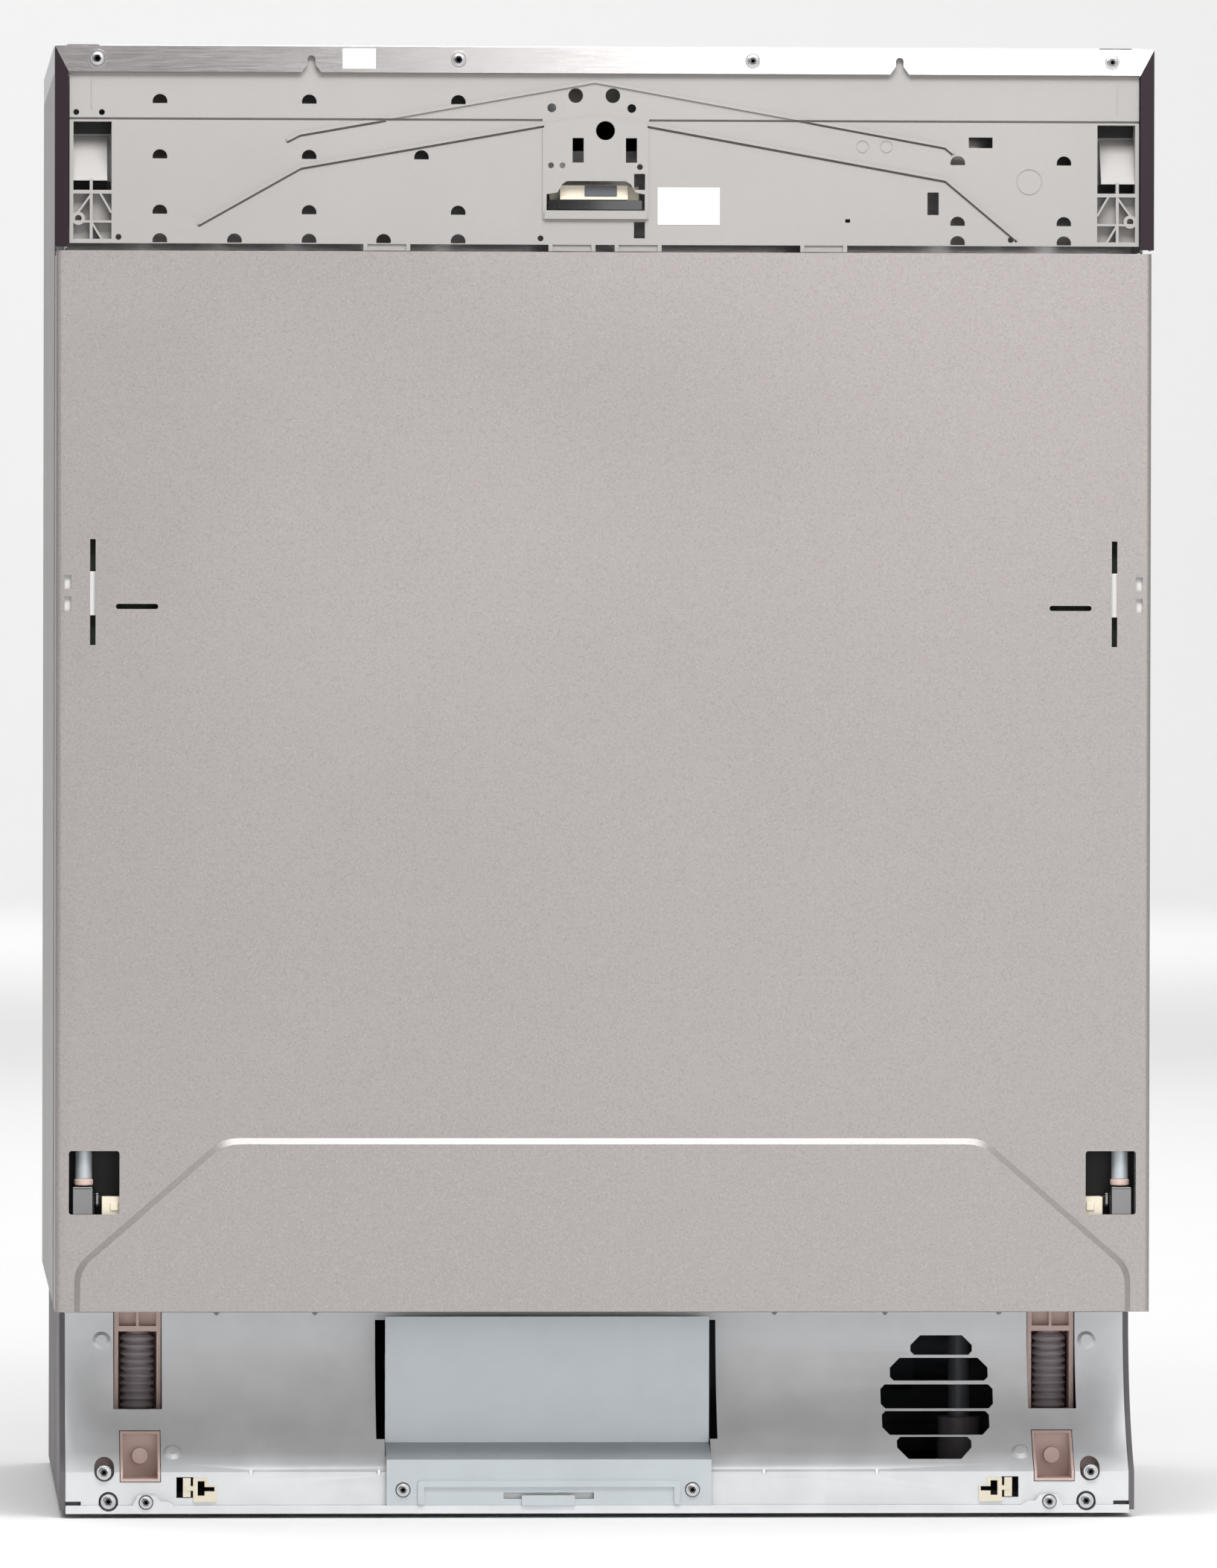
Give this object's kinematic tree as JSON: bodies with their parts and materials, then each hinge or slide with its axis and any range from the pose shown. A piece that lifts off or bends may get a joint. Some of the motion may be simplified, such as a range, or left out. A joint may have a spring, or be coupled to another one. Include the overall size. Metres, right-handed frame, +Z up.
{
  "type": "built-in dishwasher",
  "caption": "Fully integrated panel-ready dishwasher with a drop-down door, galvanised recessed base, tub, racks, spray arms, pumps and levelling feet.",
  "frame": {"origin": "middle of the footprint at floor level", "axes": "+X to the right seen from the front, +Y to the rear, +Z up"},
  "size_m": [0.598, 0.57, 0.805],
  "materials": {
    "door_paint": "metallic warm grey, satin",
    "carrier_plastic": "fine-grained moulded",
    "brushed_steel": "brushed",
    "dark_trim": "dark polished",
    "galvanised": "zinc plated",
    "plate_steel": "zinc plated, blue-grey",
    "panel_grey": "light grey coated",
    "base_plastic": "moulded",
    "beige_plastic": "moulded",
    "cream_plastic": "moulded",
    "dark_plastic": "moulded",
    "white_plastic": "moulded",
    "panel_black": "semi-gloss",
    "button_silver": "silver lacquered",
    "display_black": "gloss",
    "rubber_black": "matte",
    "spring_dark": "ribbed sleeve",
    "screw_steel": "plated",
    "insulation": "pressed fibre mat",
    "board_green": "coated board",
    "label_white": "blank sticker",
    "cap_blue": "moulded",
    "filter_steel": "fine mesh",
    "rack_coating": "nylon-coated wire"
  },
  "bodies": {
    "cabinet": {"side_panel_left": "panel_grey", "side_panel_right": "panel_grey", "rear_panel": "galvanised", "top_frame": "galvanised", "top_seal_strip": "rubber_black", "base_tray": "base_plastic", "base_front_sheet": "galvanised", "base_center_plate": "plate_steel", "base_lower_rail": "galvanised", "base_screws": "screw_steel", "spring_guides": "beige_plastic", "door_springs": "spring_dark", "base_clips": "cream_plastic", "tub_wrap": "brushed_steel", "tub_rear_wall": "brushed_steel", "tub_floor": "brushed_steel", "tub_front_frame": "brushed_steel", "door_seal": "rubber_black", "sump": "dark_plastic", "circulation_pump": "white_plastic", "drain_pump": "dark_plastic", "water_softener": "white_plastic", "power_module": "dark_plastic", "inlet_connector": "white_plastic", "drain_connector": "dark_plastic", "hinge_brackets": "plate_steel", "rack_rails": "brushed_steel"},
    "door": {"outer_door_panel": "door_paint", "inner_door_panel": "brushed_steel", "fascia_carrier": "carrier_plastic", "door_top_trim": "brushed_steel", "door_side_trims": "dark_trim", "trim_screws": "screw_steel", "control_panel": "panel_black", "display_window": "display_black", "door_insulation": "insulation", "hinge_arms": "plate_steel", "dispenser_body": "dark_plastic", "control_board": "board_green", "blank_labels": "label_white"},
    "lower_rack": {"lower_rack": "rack_coating", "rack_wheels": "dark_plastic"},
    "door_latch": {"door_latch": "cream_plastic"},
    "power_button": {"power_button": "button_silver"},
    "program_button": {"program_button": "button_silver"},
    "option_button": {"option_button": "button_silver"},
    "start_button": {"start_button": "button_silver"},
    "detergent_flap": {"detergent_flap": "dark_plastic"},
    "rinse_aid_cap": {"rinse_aid_cap": "cap_blue"},
    "salt_cap": {"salt_cap": "brushed_steel"},
    "filter_cylinder": {"filter_cylinder": "filter_steel"},
    "spray_arm_lower": {"spray_arm_lower": "dark_plastic"},
    "spray_arm_upper": {"spray_arm_upper": "dark_plastic"},
    "spray_arm_top": {"spray_arm_top": "dark_plastic"},
    "cutlery_tray": {"cutlery_tray": "rack_coating"},
    "upper_rack": {"upper_rack": "rack_coating"},
    "folding_tines": {"folding_tines": "rack_coating"},
    "foot_front_left": {"foot_front_left": "dark_plastic"},
    "foot_front_right": {"foot_front_right": "dark_plastic"},
    "foot_rear": {"foot_rear": "dark_plastic"}
  },
  "joints": [
    {"name": "door_hinge", "type": "hinge", "parent": "cabinet", "child": "door", "pos_m": [0, -0.25, 0.128], "axis": [1, 0, 0], "range_deg": [0, 90], "stiffness_Nm_per_rad": 18},
    {"name": "latch_slide", "type": "slide", "parent": "door", "child": "door_latch", "axis": [0, 0, 1], "range_m": [0, 0.003], "stiffness_N_per_m": 300, "springref_m": -0.001},
    {"name": "power_button_press", "type": "slide", "parent": "door", "child": "power_button", "axis": [0, 0, -1], "range_m": [0, 0.0015], "stiffness_N_per_m": 300, "springref_m": -0.0004},
    {"name": "program_button_press", "type": "slide", "parent": "door", "child": "program_button", "axis": [0, 0, -1], "range_m": [0, 0.0015], "stiffness_N_per_m": 300, "springref_m": -0.0004},
    {"name": "option_button_press", "type": "slide", "parent": "door", "child": "option_button", "axis": [0, 0, -1], "range_m": [0, 0.0015], "stiffness_N_per_m": 300, "springref_m": -0.0004},
    {"name": "start_button_press", "type": "slide", "parent": "door", "child": "start_button", "axis": [0, 0, -1], "range_m": [0, 0.0015], "stiffness_N_per_m": 300, "springref_m": -0.0004},
    {"name": "detergent_flap_slide", "type": "slide", "parent": "door", "child": "detergent_flap", "axis": [-1, 0, 0], "range_m": [0, 0.07]},
    {"name": "rinse_aid_cap_turn", "type": "hinge", "parent": "door", "child": "rinse_aid_cap", "pos_m": [0.17, -0.2225, 0.54], "axis": [0, 1, 0], "range_deg": [0, 90]},
    {"name": "salt_cap_turn", "type": "hinge", "parent": "cabinet", "child": "salt_cap", "pos_m": [-0.19, -0.06, 0.155], "axis": [0, 0, 1], "range_deg": [0, 360]},
    {"name": "filter_turn", "type": "hinge", "parent": "cabinet", "child": "filter_cylinder", "pos_m": [0.07, 0.02, 0.11], "axis": [0, 0, 1], "range_deg": [0, 90]},
    {"name": "spray_arm_lower_spin", "type": "hinge", "parent": "cabinet", "child": "spray_arm_lower", "pos_m": [-0.02, 0.02, 0.168], "axis": [0, 0, 1], "continuous": true},
    {"name": "spray_arm_upper_spin", "type": "hinge", "parent": "upper_rack", "child": "spray_arm_upper", "pos_m": [0, 0.02, 0.427], "axis": [0, 0, 1], "continuous": true},
    {"name": "spray_arm_top_spin", "type": "hinge", "parent": "cabinet", "child": "spray_arm_top", "pos_m": [0, 0.02, 0.7635], "axis": [0, 0, 1], "continuous": true},
    {"name": "lower_rack_slide", "type": "slide", "parent": "cabinet", "child": "lower_rack", "axis": [0, -1, 0], "range_m": [0, 0.118]},
    {"name": "upper_rack_slide", "type": "slide", "parent": "cabinet", "child": "upper_rack", "axis": [0, -1, 0], "range_m": [0, 0.44]},
    {"name": "cutlery_tray_slide", "type": "slide", "parent": "cabinet", "child": "cutlery_tray", "axis": [0, -1, 0], "range_m": [0, 0.44]},
    {"name": "folding_tines_hinge", "type": "hinge", "parent": "lower_rack", "child": "folding_tines", "pos_m": [0.09, 0.0075, 0.204], "axis": [0, 1, 0], "range_deg": [0, 85]},
    {"name": "foot_front_left_level", "type": "slide", "parent": "cabinet", "child": "foot_front_left", "axis": [0, 0, 1], "range_m": [-0.06, 0]},
    {"name": "foot_front_right_level", "type": "slide", "parent": "cabinet", "child": "foot_front_right", "axis": [0, 0, 1], "range_m": [-0.06, 0]},
    {"name": "foot_rear_level", "type": "slide", "parent": "cabinet", "child": "foot_rear", "axis": [0, 0, 1], "range_m": [-0.06, 0]}
  ],
  "couplings": [
    {"joint": "lower_rack_slide", "follows": "door_hinge", "m_per_rad": 0.075},
    {"joint": "upper_rack_slide", "follows": "door_hinge", "m_per_rad": 0.28},
    {"joint": "cutlery_tray_slide", "follows": "door_hinge", "m_per_rad": 0.28}
  ]
}
